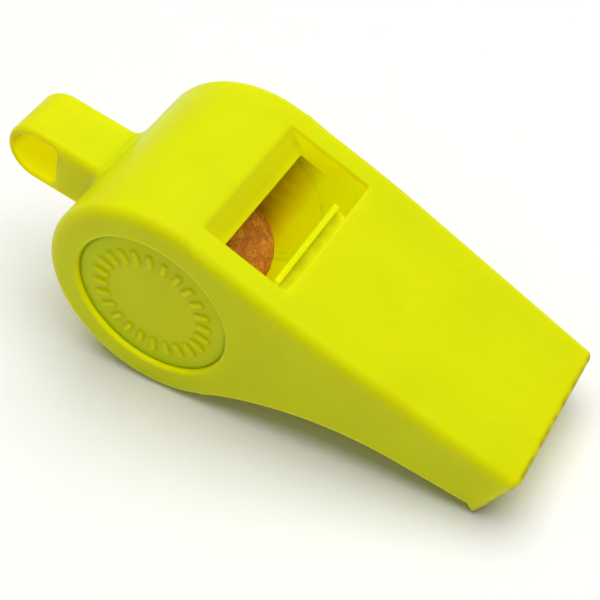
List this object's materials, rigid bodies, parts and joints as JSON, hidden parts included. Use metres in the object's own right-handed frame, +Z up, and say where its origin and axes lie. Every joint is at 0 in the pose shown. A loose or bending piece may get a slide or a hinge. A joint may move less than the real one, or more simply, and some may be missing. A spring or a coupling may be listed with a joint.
{
  "type": "training whistle",
  "caption": "Moulded plastic pea whistle for dog training: round barrel, flat mouthpiece, top window, lanyard lug behind and a loose cork pea inside.",
  "frame": {"origin": "on the supporting surface, under the middle of the whistle's bounding box, as it stands on its barrel and on the bead under its mouth", "axes": "+X along the whistle from the lanyard lug to the mouth, +Y across its width (the pea's axis of travel is parallel to it), +Z up"},
  "size_m": [0.0556, 0.0204, 0.022],
  "materials": {
    "shell_plastic": "moulded fluorescent yellow-green plastic, satin gloss",
    "trim_plastic": "moulded fluorescent yellow-green plastic, satin gloss, as the shell",
    "cork": "reddish-brown granulated cork, dull"
  },
  "bodies": {
    "whistle": {"body_shell": "shell_plastic", "windway_block": "trim_plastic", "side_cap_left": "trim_plastic", "side_cap_right": "trim_plastic"},
    "pea": {"cork_pea": "cork"}
  },
  "joints": [
    {"name": "pea_orbit", "type": "hinge", "parent": "whistle", "child": "pea", "pos_m": [-0.00767, 0, 0.011], "axis": [0, 1, 0], "continuous": true}
  ]
}
